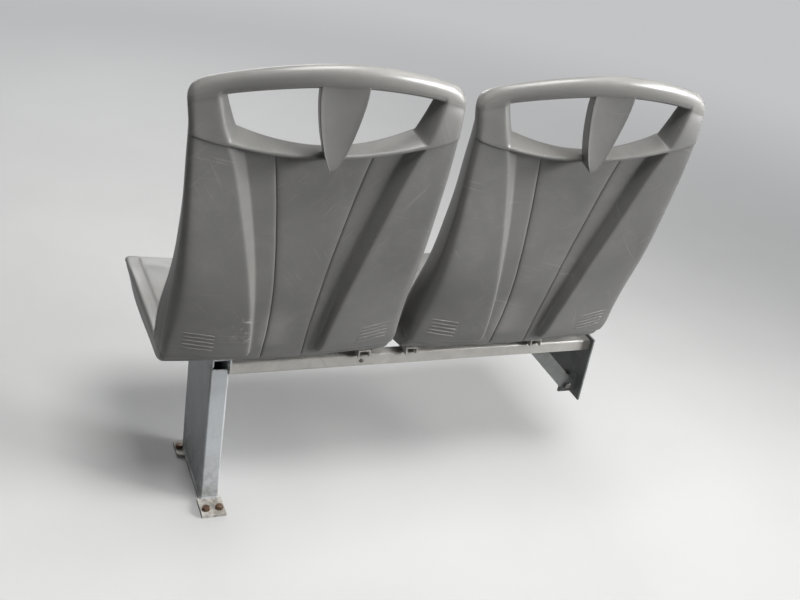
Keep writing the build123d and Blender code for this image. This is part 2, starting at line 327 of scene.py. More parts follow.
paintLooks = {
    "leg": {"name": "lightGreyPaint", "base": (0.50, 0.52, 0.535), "shade": (0.44, 0.46, 0.475),
            "grimeColor": (0.20, 0.19, 0.17), "markColor": (0.25, 0.25, 0.25), "roughness": 0.36,
            "dirtTop": 0.14, "grime": 0.06, "marks": 0.22},
    "foot": {"name": "wornFootPaint", "base": (0.60, 0.58, 0.54), "shade": (0.52, 0.50, 0.46),
             "grimeColor": (0.17, 0.15, 0.12), "markColor": (0.22, 0.20, 0.18), "roughness": 0.48,
             "dirtTop": 0.03, "grime": 0.30, "marks": 0.45},
    "rail": {"name": "warmGreyPaint", "base": (0.49, 0.475, 0.445), "shade": (0.43, 0.415, 0.39),
             "grimeColor": (0.20, 0.18, 0.16), "markColor": (0.24, 0.23, 0.22), "roughness": 0.38,
             "dirtTop": 0.05, "grime": 0.14, "marks": 0.28},
    # the bracket's paint is darkened below mid grey, a painted shade for the shadow under the seat
    "bracket": {"name": "shadeDarkenedGreyPaint", "base": (0.175, 0.185, 0.18), "shade": (0.135, 0.145, 0.14),
                "grimeColor": (0.08, 0.075, 0.065), "markColor": (0.36, 0.36, 0.35), "roughness": 0.42,
                "dirtTop": 0.05, "grime": 0.18, "marks": 0.35},
}
boltLooks = {
    "bolt": {"name": "darkBoltSteel", "clean": (0.20, 0.195, 0.185), "stain": (0.13, 0.085, 0.055),
             "stainLow": 0.50, "stainHigh": 0.68},
    "rust": {"name": "rustyBoltSteel", "clean": (0.16, 0.115, 0.085), "stain": (0.105, 0.055, 0.030),
             "stainLow": 0.36, "stainHigh": 0.56},
}


def makeBoltSteel(look):
    material, shader, place = startMaterial(look["name"])
    noise = noiseNode(place, 180.0, 6.0, 0.7)
    stain = rampNode(noise, look["stainLow"], look["stainHigh"])
    feed(shader, {"Base Color": mixColor(stain, look["clean"], look["stain"]),
                  "Metallic": mathNode("SUBTRACT", 0.9, times(stain, 0.7)),
                  "Roughness": plus(0.34, times(stain, 0.35)), "Normal": bumpNode(noise, 0.4, 0.0002)})
    return material


materials = {"plastic": makePlastic()}
for makeSteel, looks in ((makePaint, paintLooks), (makeBoltSteel, boltLooks)):
    materials.update({finish: makeSteel(look) for finish, look in looks.items()})
print("materials made:", len(materials))


# Finishes of the steel pieces that come from the frame

straps = ("strap_aisle_shell", "strap_window_shell", "strap_wall_side")
nodeFinish = {
    "foot": ("foot_plate",),
    "leg": ("leg_box", "leg_front_plate", "leg_head"),
    "rail": ("rail_rear", "rail_front", *straps),
    "bracket": ("wall_plate", "lug_rear", "lug_front", "strut_rear", "strut_front"),
}
edgeBreak = {"width": 0.0009, "segments": 2, "angle": 35.0, "flatWithin": 0.5}


def addModifier(piece, name, kind, values):
    modifier = piece.modifiers.new(name, kind)
    for key, value in values.items():
        setattr(modifier, key, value)


def dressNode(name, finish):
    node = nodes[name]
    node.data.materials.clear()
    node.data.materials.append(materials[finish])
    addModifier(node, "joinFaces", "WELD", {"merge_threshold": 0.00001})
    addModifier(node, "joinFlatFaces", "DECIMATE",
                {"decimate_type": "DISSOLVE", "angle_limit": math.radians(edgeBreak["flatWithin"])})
    addModifier(node, "brokenEdges", "BEVEL",
                {"width": edgeBreak["width"], "segments": edgeBreak["segments"], "limit_method": "ANGLE",
                 "angle_limit": math.radians(edgeBreak["angle"]), "harden_normals": True})


for finish, nodeNames in nodeFinish.items():
    for nodeName in nodeNames:
        dressNode(nodeName, finish)
print("steel pieces finished:", sum(len(nodeNames) for nodeNames in nodeFinish.values()))


# Moulded shell. A point on it is given by u across, s down the back and on along the pan, and a depth
# from the plane of the two side edges towards the sitter.

shell = {
    "cornerZ": 0.885,
    "backY": -0.127,
    "lean": 10.5,
    "bendRadius": 0.090,
    "panUnder": 0.331,
    "panFrontY": 0.303,
    "panNoseY": 0.355,
    "noseLift": 0.012,
    "crownRise": 0.063,
    "crownPower": 1.8,
    "shoulder": 0.009,
    "halfTop": 0.218,
    "crownRadius": 0.026,
    "bandHeight": 0.034,
    "slotEndTop": 0.174,
    "slotEndLow": 0.160,
    "slotEndHeight": -0.002,
    "slotFootEnd": -0.069,
    "slotFootMiddle": -0.091,
    "slotTaper": 0.012,
    "slotCorner": 0.006,        # how far its lower corners are cut in
    "footLift": 0.006,          # how much higher the foot is in front, in the middle and more at its ends
    "footLiftEnd": 0.011,
    "rimHeight": 0.007,
    "rimTurn": 0.152,           # from here outwards the line of the rim runs up
    "rimRise": 0.018,
    "rimReach": 0.068,
    "rimPower": 1.4,
    "recessDepth": 0.016,
    "flankEnd": 36.0,           # degrees round the bend
    "surroundStep": 0.0027,
    "rimWidth": 0.026,
    "panelSink": 0.003,
    "grooveDepth": 0.0020,
    "grooveHalf": 0.0017,
    "grooveEnd": 46.0,          # degrees round the bend
    "stripRise": 0.0006,        # how far the strip between the two grooves stands up
    "topSwell": 0.0015,         # how round the top and side faces are between the two skins
    "sideSwell": 0.0025,
    "sidePinch": 0.0020,
    "rowAt": 0.150,             # where across a row's height is read for the places of its columns
}

lean = math.radians(shell["lean"])
bendZ = shell["panUnder"] + shell["bendRadius"]
backEnd = (shell["cornerZ"] - bendZ + shell["bendRadius"] * math.sin(lean)) / math.cos(lean)
bendY = shell["backY"] + backEnd * math.sin(lean) + shell["bendRadius"] * math.cos(lean)
bendEnd = backEnd + shell["bendRadius"] * (math.pi / 2 - lean)
panFront = bendEnd + shell["panFrontY"] - bendY
panNose = bendEnd + shell["panNoseY"] - bendY

# Cross sections down the shell: half widths behind and in front, then the depths of the rear skin and
# of the front skin, each in the middle and at the side edge
sectionAt = (-0.100, 0.0, 0.03, 0.06, 0.12, 0.19, 0.25, 0.31, 0.37, 0.43, backEnd, 0.555, bendEnd,
             panFront, panNose)
sections = {
    "rearHalf": (218, 217, 216, 215, 214, 212, 211, 211, 212, 214, 215, 214, 213, 216, 212),
    "frontHalf": (216, 214, 212, 209, 205, 202, 204, 206, 211, 219, 221, 220, 219, 225, 221),
    "rearMiddle": (-43.0, -38, -35, -32, -26, -25, -24.5, -23, -22, -18, -11, -3, 0, 0, 0),
    "rearEdge": (0, -3, -12, -20, -25.5, -28, -28.5, -25, -15, -4, 4, 4, 0, 0, 0),
    "frontMiddle": (-20, -10.5, -8.5, -7, -3.5, -2.5, -1, 3, 11, 23, 34, 37, 36, 38, 28),
    "frontEdge": (22, 21, 21, 22, 27, 31, 34, 38, 46, 56, 61, 61, 58, 60, 40),
}
fineAt = np.linspace(sectionAt[0] - 0.02, panNose, 400)


def smoothCurve(places, values):
    # a curve through the given values with no corner at any of them
    places, values = np.array(places), np.array(values, float)
    slopes = np.gradient(values, places)
    i = np.clip(np.searchsorted(places, fineAt) - 1, 0, len(places) - 2)
    gap = places[i + 1] - places[i]
    t = np.clip((fineAt - places[i]) / gap, 0, 1)
    start, end = values[i], values[i + 1]
    leave, arrive = slopes[i] * gap, slopes[i + 1] * gap
    return start + t * leave + t * t * (3 * (end - start) - 2 * leave - arrive) \
        + t ** 3 * (2 * (start - end) + leave + arrive)


sectionCurves = {name: smoothCurve(sectionAt, values) / 1000 for name, values in sections.items()}


def section(name, s):
    return float(np.interp(s, fineAt, sectionCurves[name]))


def placePoint(u, s, depth):
    if s <= backEnd:
        y = shell["backY"] + s * math.sin(lean)
        z = shell["cornerZ"] - s * math.cos(lean)
        turn = lean
    elif s <= bendEnd:
        turn = lean + (s - backEnd) / shell["bendRadius"]
        y = bendY - shell["bendRadius"] * math.cos(turn)
        z = bendZ - shell["bendRadius"] * math.sin(turn)
    else:
        turn = math.pi / 2
        y = bendY + s - bendEnd
        z = shell["panUnder"] + shell["noseLift"] * max(0.0, (s - panFront) / (panNose - panFront))
    return Vector((u, y + depth * math.cos(turn), z + depth * math.sin(turn)))


def skinDepth(skin, u, s):
    middle, edge = section(skin + "Middle", s), section(skin + "Edge", s)
    return middle + (edge - middle) * (u / section(skin + "Half", s)) ** 2


def smoothStep(value, low, high):
    t = min(1.0, max(0.0, (value - low) / (high - low)))
    return t * t * (3 - 2 * t)


def crownV(u):
    drop = shell["crownRise"] - shell["shoulder"]
    return shell["crownRise"] - drop * (abs(u) / shell["halfTop"]) ** shell["crownPower"]


def slotTopV(u):
    middle = shell["crownRise"] - shell["bandHeight"]
    return middle - (middle - shell["slotEndHeight"]) * (abs(u) / shell["slotEndTop"]) ** shell["crownPower"]


def slotFootV(u):
    rise = shell["slotFootEnd"] - shell["slotFootMiddle"]
    return shell["slotFootMiddle"] + rise * (min(abs(u), 0.2) / shell["slotEndLow"]) ** 2


def rimV(u):
    # lower line of the rim under the hand hold, which runs on outwards and up to the side edges
    past = max(0.0, abs(u) - shell["rimTurn"])
    foot = slotFootV(min(abs(u), shell["rimTurn"]))
    return foot - shell["rimHeight"] + shell["rimRise"] * (past / shell["rimReach"]) ** shell["rimPower"]


recess = {
    "top": 0.082,
    "footFrom": 0.154,
    "footHalf": 0.114,          # half width of its floor there, then how it narrows and how that eases off
    "footNarrow": 0.234,
    "footEase": 0.242,
    "wallAt": (0.09, 0.20, 0.29, 0.34, 0.40, 0.46, 0.50, 0.54),
    "wall": (20, 18.5, 14.2, 11, 7, 4.6, 4, 4),     # millimetres across the sloping wall
    "flare": 5.0,
    "flareReach": 0.010,
    "grooveAt": (0.10, 0.19, 0.30, 0.38, 0.47, 0.56),
    "groove": (0.079, 0.064, 0.049, 0.041, 0.037, 0.038),
}


def recessFoot(s):
    t = s - recess["footFrom"]
    return recess["footHalf"] - recess["footNarrow"] * t + recess["footEase"] * t * t


def recessTop(s):
    # half width at the top of the sloping walls, which close up towards the foot
    wall = float(np.interp(s, recess["wallAt"], recess["wall"]))
    flare = recess["flare"] * math.exp(-max(0.0, s - recess["top"]) / recess["flareReach"])
    return recessFoot(s) + (wall + flare) / 1000


def grooveAt(s):
    return float(np.interp(s, recess["grooveAt"], recess["groove"]))


def bendAt(degrees):
    return backEnd + shell["bendRadius"] * (math.radians(degrees) - lean)


def floorDepth(s):
    # the sunk floor runs straight on and comes out through the bend
    turn = max(0.0, (s - backEnd) / shell["bendRadius"])
    left = (shell["recessDepth"] - shell["bendRadius"] * (1 - math.cos(turn))) / max(0.2, math.cos(turn))
    return 0.5 * (left + math.sqrt(left * left + 0.002 ** 2))


# The lattice's rows, down from the crown and on along the pan. Each is measured in metres from a line of
# the shell, but as a share of the hand hold's height inside it, and in degrees round the bend.
rowPlaces = {
    "crown": (0.0, 0.003, 0.009, 0.018),
    "slotTop": (0.010, 0.0035, 0.0),
    "slot": (0.2, 0.5, 0.8),
    "slotFoot": (0.0, 0.0016, 0.0036),
    "rim": (-0.0015, 0.0, 0.0015, 0.0045, 0.012),
    "back": (0.123, 0.140, 0.162, 0.190, 0.222, 0.256, 0.292, 0.330, 0.368, 0.405, 0.440, 0.470),
    "bend": (14, 21, 27, 32, 34.6, 36, 37.4, 40, 44, 49, 56, 64, 73, 82, 90),
    "pan": (0.075, 0.105, 0.140, 0.175, 0.210, 0.245, 0.275, 0.300, 0.318, 0.332, 0.343, 0.350, 0.355),
}
shellRows = [(kind, value) for kind, values in rowPlaces.items() for value in values]
crownRows = 4
slotRows = (6, 10)
rimRow = 14
slotColumn = 11         # columns count outwards from the middle
grooveColumn = 3
floorColumn = 8         # the last one on the sunk panel's floor
wallColumn = 10         # and on its sloping wall
panelColumn = 12        # the last one on the sitter's panel
columnCount = 19
columnBlend = {11: 0.15, 12: 0.40, 13: 0.75}    # rows that pass from the hand hold's columns to the panel's
layers = (0.0, 0.10, 0.40, 0.70, 0.76, 0.90, 1.0)
# How far the skins are rolled back: along the crown for each skin, then round the hand hold
crownRoll = {"rear": (0.0075, 0.0035, 0.0007, 0.0), "front": (0.0110, 0.0068, 0.0024, 0.0003)}
bandRoll = {4: 0.0006, 5: 0.0024, 6: 0.0060}
footRoll = {10: 0.0022, 11: 0.0004, 12: 0.0}
endRoll = {11: 0.0036, 12: 0.0010, 13: 0.0002}
frontSideRoll = {18: 0.0060, 17: 0.0026, 16: 0.0006}
noseRoll = (0.0110, 0.0045, 0.0010)     # at the last rows of the pan's front skin, from its end back

# The round corner between the rear skin and the side: how far it reaches along the skin and down the
# side at a few places, and the share of both for each outer column
cornerAt = (-0.100, 0.06, 0.12, 0.20, 0.30, 0.40, 0.46, backEnd, bendEnd, panNose)
cornerAlong = (0.0070, 0.008, 0.010, 0.013, 0.018, 0.020, 0.016, 0.011, 0.009, 0.009)
cornerDown = (0.0065, 0.007, 0.008, 0.010, 0.013, 0.016, 0.015, 0.010, 0.008, 0.008)
cornerShare = {15: (1.25, 0.0), 16: (0.62, 0.075), 17: (0.20, 0.40), 18: (0.0, 1.0)}


def rowLine(kind, value, u, front):
    if kind == "crown":
        return value - crownV(u)
    if kind == "slotTop":
        return -slotTopV(u) - value + (0.003 if front else 0.0)
    if kind == "slot":
        top = -slotTopV(u)
        return top + value * (rowLine("slotFoot", 0.0, u, front) - top)
    if kind == "slotFoot":
        lift = shell["footLift"] + shell["footLiftEnd"] * min(1.0, (u / shell["slotEndLow"]) ** 2)
        return value - slotFootV(u) - (lift if front else 0.0)
    if kind == "rim":
        return value - rimV(u)
    if kind == "back":
        return value
    if kind == "bend":
        return bendAt(value)
    return bendEnd + value - bendY


def outerColumns(s, side, front):
    if front:
        return [side - 0.016, side - 0.007, side - 0.002, side]
    along = float(np.interp(s, cornerAt, cornerAlong))
    return [side - along * cornerShare[column][0] for column in (15, 16, 17, 18)]


def slotColumns(s, side, front):
    low = -shell["slotFootEnd"] - (shell["footLift"] + shell["footLiftEnd"] if front else 0.0)
    fraction = min(1.0, max(0.0, s / low))
    end = shell["slotEndTop"] + (shell["slotEndLow"] - shell["slotEndTop"]) * fraction
    end -= shell["slotCorner"] * smoothStep(fraction, 0.65, 1.05) ** 1.5
    if front:
        end -= shell["slotTaper"]
    inner = [end * f for f in (0.0, 0.14, 0.29, 0.45, 0.60, 0.72, 0.80, 0.86, 0.905)]
    inner += [end - 0.010, end - 0.004, end, end + 0.004, end + 0.009, end + 0.018]
    return inner + outerColumns(s, side, front)


def recessColumns(s, side):
    top, foot, groove, half = recessTop(s), recessFoot(s), grooveAt(s), shell["grooveHalf"]
    wall = top - foot
    reach = foot - 0.006 - groove
    outer = outerColumns(s, side, False)
    inner = [0.0, 0.5 * groove, groove - half, groove, groove + half, groove + 0.35 * reach,
             groove + 0.75 * reach, foot - 0.006, foot - 0.0008, foot + min(0.0014, 0.25 * wall),
             top - min(0.0020, 0.30 * wall)]
    flank = [top + 0.010 + (outer[0] - top - 0.010) * f for f in (0.33, 0.67)]
    return inner + [top + 0.0016, top + 0.010] + flank + outer


def frontColumns(side):
    panel = side - shell["rimWidth"]
    inner = [panel * f for f in (0.0, 0.09, 0.18, 0.27, 0.36, 0.46, 0.56, 0.66, 0.75, 0.83, 0.90, 0.96)]
    return inner + [panel - 0.003, panel + 0.001, panel + 0.005] + outerColumns(0.0, side, True)


def roundCorner(u, below):
    # turns the square top corner of the outline into a quarter circle
    radius = shell["crownRadius"]
    p = u - (shell["halfTop"] - radius)
    q = radius - below
    if p <= 0 or q <= 0:
        return u, below
    p2 = p * math.sqrt(max(0.0, 1 - q * q / (2 * radius * radius)))
    q2 = q * math.sqrt(max(0.0, 1 - p * p / (2 * radius * radius)))
    return shell["halfTop"] - radius + p2, radius - q2


def columnPlace(column, row, nominal, side, front):
    slot = slotColumns(nominal, side, front)[column]
    below = frontColumns(side)[column] if front else recessColumns(max(nominal, recess["top"]), side)[column]
    share = 1.0 if row >= rimRow else columnBlend.get(row, 0.0)
    return slot + (below - slot) * share


def rowPoint(column, row, skin):
    kind, value = shellRows[row]
    front = skin == "front"
    nominal = rowLine(kind, value, shell["rowAt"], front)
    side = section(skin + "Half", nominal)
    u = columnPlace(column, row, nominal, side, front)
    s = rowLine(kind, value, u, front)
    if kind == "crown" or (kind == "slotTop" and column > slotColumn):
        u, below = roundCorner(u, s + crownV(u))
        s = below - crownV(u)
    return u, s


def rolledEdge(column, row, skin):
    if row < crownRows:
        return crownRoll[skin][row]
    roll = bandRoll.get(row, 0.0) * (1.0 if column <= slotColumn else 0.2)
    if slotRows[0] <= row <= slotRows[1]:
        roll = max(roll, endRoll.get(column, 0.0))
    if column <= slotColumn:
        roll = max(roll, footRoll.get(row, 0.0))
    return roll


def cornerRoll(corner, row, skin):
    # along the crown only what goes beyond its own roll is added
    return max(0.0, corner - crownRoll[skin][row]) if row < crownRows else corner


def rearPoint(column, row):
    u, s = rowPoint(column, row, "rear")
    if row <= rimRow:
        feature = rolledEdge(column, row, "rear") - shell["surroundStep"] * (0.8 if row == rimRow else 1.0)
    elif column <= floorColumn:
        feature = floorDepth(s) * (0.8 if row == rimRow + 1 else 1.0)
        if row > rimRow + 2 and column <= grooveColumn and s < bendAt(shell["grooveEnd"]):
            feature += shell["grooveDepth"] if column == grooveColumn else -shell["stripRise"]
    else:
        top, foot = recessTop(s), recessFoot(s)
        sunk = min(1.0, max(0.0, (top - u) / (top - foot))) if column <= wallColumn else 0.0
        cut = smoothStep(s, bendAt(shell["flankEnd"] - 1.6), bendAt(shell["flankEnd"] + 1.4))
        feature = floorDepth(s) * (sunk + (1 - sunk) * cut)
    if column in cornerShare:
        corner = cornerShare[column][1] * float(np.interp(s, cornerAt, cornerDown))
        feature += cornerRoll(corner, row, "rear")
    return u, s, skinDepth("rear", u, s) + feature


def frontPoint(column, row):
    u, s = rowPoint(column, row, "front")
    feature = rolledEdge(column, row, "front")
    if row >= rimRow + 3 and column <= panelColumn:
        sunk = smoothStep(s, 0.112, 0.126) * (1 - smoothStep(s, panNose - 0.030, panNose - 0.018))
        feature += shell["panelSink"] * sunk
    fromEnd = len(shellRows) - 1 - row
    if fromEnd < len(noseRoll):
        feature += noseRoll[fromEnd]
    feature += cornerRoll(frontSideRoll.get(column, 0.0), row, "front")
    return u, s, skinDepth("front", u, s) - feature


def latticePoint(column, row, layer):
    sign = -1 if column < 0 else 1
    column = abs(column)
    rear = rearPoint(column, row)
    front = frontPoint(column, row)
    f = layers[layer]
    u, s, depth = (a + (b - a) * f for a, b in zip(rear, front))
    swell = 4 * f * (1 - f)
    if 0 < layer < len(layers) - 1:
        shared = 0.7 if row == 0 and column == columnCount - 1 else 1.0
        if row == 0:
            s -= shell["topSwell"] * swell * shared
        if column == columnCount - 1:
            lower = smoothStep(s, 0.25, 0.60)
            u += shell["sideSwell"] * swell * shared
            if layer in (1, 2, 3):
                u -= shell["sidePinch"] * lower
    return placePoint(sign * u, s, depth)


def isSolid(cell, row):
    # cell counts columns outwards from the middle; the hand hold is left open
    return cell >= slotColumn or not slotRows[0] <= row < slotRows[1]


def latticeMesh(name, counts, pointAt, solid):
    # Skin of a block of cells: each face between a solid cell and an empty one. The counts are of points,
    # and the columns run to both sides of the middle one.
    index, points, faces = {}, [], []
    columns, rows, layerTotal = (count - 1 for count in counts)

    def vertex(i, j, k):
        if (i, j, k) not in index:
            index[(i, j, k)] = len(points)
            points.append(pointAt(i, j, k))
        return index[(i, j, k)]

    def filled(i, j, k):
        if not (-columns <= i < columns and 0 <= j < rows and 0 <= k < layerTotal):
            return False
        return solid(i if i >= 0 else -i - 1, j)

    corners = {
        (-1, 0, 0): ((0, 0, 0), (0, 0, 1), (0, 1, 1), (0, 1, 0)),
        (1, 0, 0): ((1, 0, 0), (1, 1, 0), (1, 1, 1), (1, 0, 1)),
        (0, -1, 0): ((0, 0, 0), (1, 0, 0), (1, 0, 1), (0, 0, 1)),
        (0, 1, 0): ((0, 1, 0), (0, 1, 1), (1, 1, 1), (1, 1, 0)),
        (0, 0, -1): ((0, 0, 0), (0, 1, 0), (1, 1, 0), (1, 0, 0)),
        (0, 0, 1): ((0, 0, 1), (1, 0, 1), (1, 1, 1), (0, 1, 1)),
    }
    for i in range(-columns, columns):
        for j in range(rows):
            for k in range(layerTotal):
                if not filled(i, j, k):
                    continue
                for step, quad in corners.items():
                    if not filled(i + step[0], j + step[1], k + step[2]):
                        faces.append([vertex(i + a, j + b, k + c) for a, b, c in quad])
    mesh = bpy.data.meshes.new(name)
    mesh.from_pydata(points, [], faces)
    mesh.update()
    return mesh, index


def finishPiece(mesh, name, finish, levels=0):
    piece = addObject(name, mesh)
    mesh.materials.append(materials[finish])
    mesh.shade_smooth()
    if levels:
        addModifier(piece, "smooth", "SUBSURF", {"levels": levels, "render_levels": levels})
    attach(piece, "root")
    return piece


def meshData(mesh, name):
    data = bpy.data.meshes.new(name)
    mesh.to_mesh(data)
    mesh.free()
    return data


def closeLoops(mesh, loops):
    # skin over closed loops of vertices, with both ends closed
    for low, high in zip(loops, loops[1:]):
        for i in range(len(low)):
            j = (i + 1) % len(low)
            mesh.faces.new((low[i], low[j], high[j], high[i]))
    mesh.faces.new(loops[0][::-1])
    mesh.faces.new(loops[-1])


wedge = {
    "headTop": 0.042,
    "headArch": 0.011,
    "headHalf": 38,             # millimetres, as are the next two
    "tipFrom": 100,
    "narrowing": (0.03873, 0.001391, 0.0027),
    "tipHalf": 0.0030,
    "wideAt": 0.030,
    "tip": -0.106,
    "headDepth": -0.0385,       # its face is sunk under the crown band and stands clear at its tip
    "tipDepth": -0.0515,
    "scoop": 0.0016,            # how hollow the face is in the middle
    "frontDepth": -0.0205,
    "heelDepth": -0.0080,
    "frontInset": 0.003,
    "rows": (0.0, 0.0015, 0.005, 0.014, 0.028, 0.045, 0.064, 0.082, 0.098, 0.113, 0.124, 0.133, 0.1405,
             0.1455, 0.1480),
    "columns": (0.0, 0.34, 0.64, 0.86, 0.955, 1.0),
    "layers": (0.0, 0.05, 0.5, 0.95, 1.0),
    "sideRoll": {5: 0.0003, 4: -0.0006},    # the lip along its sides, by column
    "tipRoll": {14: 0.0012, 13: 0.0003},
}


def wedgeHalf(v):
    # half width in metres, narrowing ever faster, and more so at the tip
    x = 1000 * max(0.0, wedge["wideAt"] - v)
    tip = max(0.0, x - wedge["tipFrom"])
    steady, bowed, atTip = wedge["narrowing"]
    half = wedge["headHalf"] - steady * x - bowed * x * x - atTip * tip * tip
    return max(wedge["tipHalf"], half / 1000)


def wedgePoint(column, row, layer):
    sign = -1 if column < 0 else 1
    share = wedge["columns"][abs(column)]
    f = wedge["layers"][layer]
    down = wedge["rows"][row]
    v = wedge["headTop"] - down
    half = wedgeHalf(v) - wedge["frontInset"] * f
    u = share * half
    v -= wedge["headArch"] * (u * 1000 / wedge["headHalf"]) ** 2 * (1 - smoothStep(down, 0.0, 0.08))
    heel = smoothStep(-v, 0.090, 0.100)
    front = wedge["frontDepth"] + (wedge["heelDepth"] - wedge["frontDepth"]) * heel
    toTip = (wedge["headTop"] - v) / (wedge["headTop"] - wedge["tip"])
    face = wedge["headDepth"] + (wedge["tipDepth"] - wedge["headDepth"]) * toTip
    depth = face + (front - face) * f
    if layer == 0:
        hollow = wedge["scoop"] * (1 - share ** 2) * smoothStep(down, 0.0, 0.03)
        hollow *= 1 - smoothStep(down, 0.10, 0.145)
        depth += hollow + wedge["sideRoll"].get(abs(column), 0.0)
        depth += wedge["tipRoll"].get(row, 0.0)
    return placePoint(sign * u, -v, depth)


def setZones(mesh, shares):
    for zone, name in enumerate(zoneNames):
        layer = mesh.attributes.new(name, "FLOAT", "POINT")
        for v, share in enumerate(shares):
            layer.data[v].value = share[zone]


ribs = {
    "flankCount": 5,
    "flankFrom": 0.130,         # inner and outer ends across
    "flankTo": 0.188,
    "flankTop": 0.466,          # down the back, at the upper rib's inner end
    "flankPitch": 0.0092,
    "flankRise": 0.010,
    "panCount": 9,
    "panHalf": 0.150,
    "panFrom": 0.085,           # ahead of the bend
    "panPitch": 0.026,
    "height": 0.0011,
    "halfWidth": 0.0017,
    "sunk": 0.0012,             # its foot is inside the skin
    "steps": 12,
}


def ribGround(u, s):
    # the rear skin with its round outer corner, near enough for the ribs
    reach = cornerShare[15][0] * float(np.interp(s, cornerAt, cornerAlong))
    over = max(0.0, (abs(u) - (section("rearHalf", s) - reach)) / reach)
    return skinDepth("rear", u, s) + 0.9 * over ** 2.6 * float(np.interp(s, cornerAt, cornerDown))


def ribLine(mesh, start, end):
    # one fine raised line from (u, s) to (u, s) on the rear skin, dying out at both ends
    loops = []
    for i in range(ribs["steps"] + 1):
        f = i / ribs["steps"]
        fade = min(1.0, 8 * f * (1 - f)) ** 0.5
        u = start[0] + (end[0] - start[0]) * f
        middle = start[1] + (end[1] - start[1]) * f
        loop = []
        for j, k in ((0, 0), (0, 1), (1, 1), (2, 1), (2, 0)):
            s = middle + (j - 1) * ribs["halfWidth"] * (1.0 if k else 1.3) * (0.35 + 0.65 * fade)
            crest = ribs["height"] * fade * (1.0 if j == 1 else 0.75)
            loop.append(mesh.verts.new(placePoint(u, s, ribGround(u, s) + (-crest if k else ribs["sunk"]))))
        loops.append(loop)
    closeLoops(mesh, loops)


def ribMesh(name):
    mesh = bmesh.new()
    for side in (-1, 1):
        for i in range(ribs["flankCount"]):
            s = ribs["flankTop"] + i * ribs["flankPitch"]
            ribLine(mesh, (side * ribs["flankFrom"], s), (side * ribs["flankTo"], s - ribs["flankRise"]))
    for i in range(ribs["panCount"]):
        s = bendEnd + ribs["panFrom"] - bendY + i * ribs["panPitch"]
        ribLine(mesh, (-ribs["panHalf"], s), (ribs["panHalf"], s))
    data = meshData(mesh, name)
    setZones(data, [(0.9, 0.0, 0.0, 0.0)] * len(data.vertices))
    return data


markRows = (("back", 0.440), ("back", 0.470))       # where the aisle shell's flank is scraped white
# the lower back is rubbed smooth, and also lightened there as a painted sheen
polishAndSheenColumns = {-6: 0.3, -5: 0.8, -4: 1.0, -3: 0.8, -2: 1.0, -1: 0.9, 0: 0.5, 1: 0.2}
polishAndSheenRows = {("back", 0.405): 0.25, ("back", 0.440): 0.8, ("back", 0.470): 1.0, ("bend", 14): 1.0,
              ("bend", 21): 0.7, ("bend", 27): 0.3}
# the crown band and the hand hold's foot are rubbed by hands, and also lightened as a painted highlight
handPolishAndSheen = {"crown": 0.85, "slotFoot": 0.35}
grooveLastRow = 39


def zoneShares(column, row, layer, marked):
    place = shellRows[row]
    scuff, groove, mark, polishAndSheen = 0.25, 0.0, 0.0, 0.0
    if layer == 0:
        scuff = 0.9 if row >= rimRow + 2 else 0.25
        # the groove's line of vertices gets the painted shade
        groove = 1.0 if abs(column) == grooveColumn and rimRow + 2 < row <= grooveLastRow else 0.0
        mark = 1.0 if marked and column in (-11, -12) and place in markRows else 0.0
        # rubbed smooth, partly a painted sheen
        polishAndSheen = polishAndSheenColumns.get(column, 0.0) * polishAndSheenRows.get(place, 0.0)
    if row <= crownRows + 1:
        polishAndSheen = handPolishAndSheen["crown"]
    elif row in footRoll and abs(column) <= slotColumn:
        polishAndSheen = handPolishAndSheen["slotFoot"]
    return scuff, groove, mark, polishAndSheen


def makeShellMesh(name, marked):
    mesh, index = latticeMesh(name, (columnCount, len(shellRows), len(layers)), latticePoint, isSolid)
    setZones(mesh, [zoneShares(*place, marked) for place in index])
    counts = [len(wedge[key]) for key in ("columns", "rows", "layers")]
    wedgeMesh, wedgeIndex = latticeMesh(name + "Wedge", counts, wedgePoint, lambda cell, row: True)
    setZones(wedgeMesh, [(0.3, 0.0, 0.0, 0.0)] * len(wedgeIndex))
    both = bmesh.new()
    for part in (mesh, wedgeMesh):
        both.from_mesh(part)
    both.to_mesh(mesh)
    both.free()
    bpy.data.meshes.remove(wedgeMesh)
    return mesh


for label in ("Aisle", "Window"):
    low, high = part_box("shell_" + label.lower())
    mesh = makeShellMesh("shell" + label, label == "Aisle")
    lines = ribMesh("ribs" + label)
    for data in (mesh, lines):
        data.transform(Matrix.Translation(((low.x + high.x) / 2, 0, 0)))
    piece = finishPiece(mesh, "shell" + label, "plastic", 2)
    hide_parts("shell_" + label.lower())
    finishPiece(lines, "ribs" + label, "plastic", 1)
print("shells moulded")


# Bolts, screws and welds

fastenerSizes = {
    "M6": {"flats": 0.010, "head": 0.0040, "washer": 0.0060, "washerThick": 0.0012, "shank": 0.0030},
    "M8": {"flats": 0.013, "head": 0.0053, "washer": 0.0080, "washerThick": 0.0016, "shank": 0.0040},
    "M10": {"flats": 0.016, "head": 0.0064, "washer": 0.0100, "washerThick": 0.0020, "shank": 0.0050},
}
fastenerTurns = (0.2, 0.75, 0.45, 0.0, 0.9, 0.6)        # no two heads are tightened to the same angle
fastenerSides = 24


def ringStack(mesh, rings, matrix):
    # skin over rings, each a radius and a height for every angle
    loops = []
    for radiusAt, heightAt in rings:
        loop = []
        for i in range(fastenerSides):
            angle = 2 * math.pi * i / fastenerSides
            place = (radiusAt(angle) * math.cos(angle), radiusAt(angle) * math.sin(angle), heightAt(angle))
            loop.append(mesh.verts.new(matrix @ Vector(place)))
        loops.append(loop)
    closeLoops(mesh, loops)


def plainRing(radius, height):
    return (lambda angle: radius, lambda angle: height)


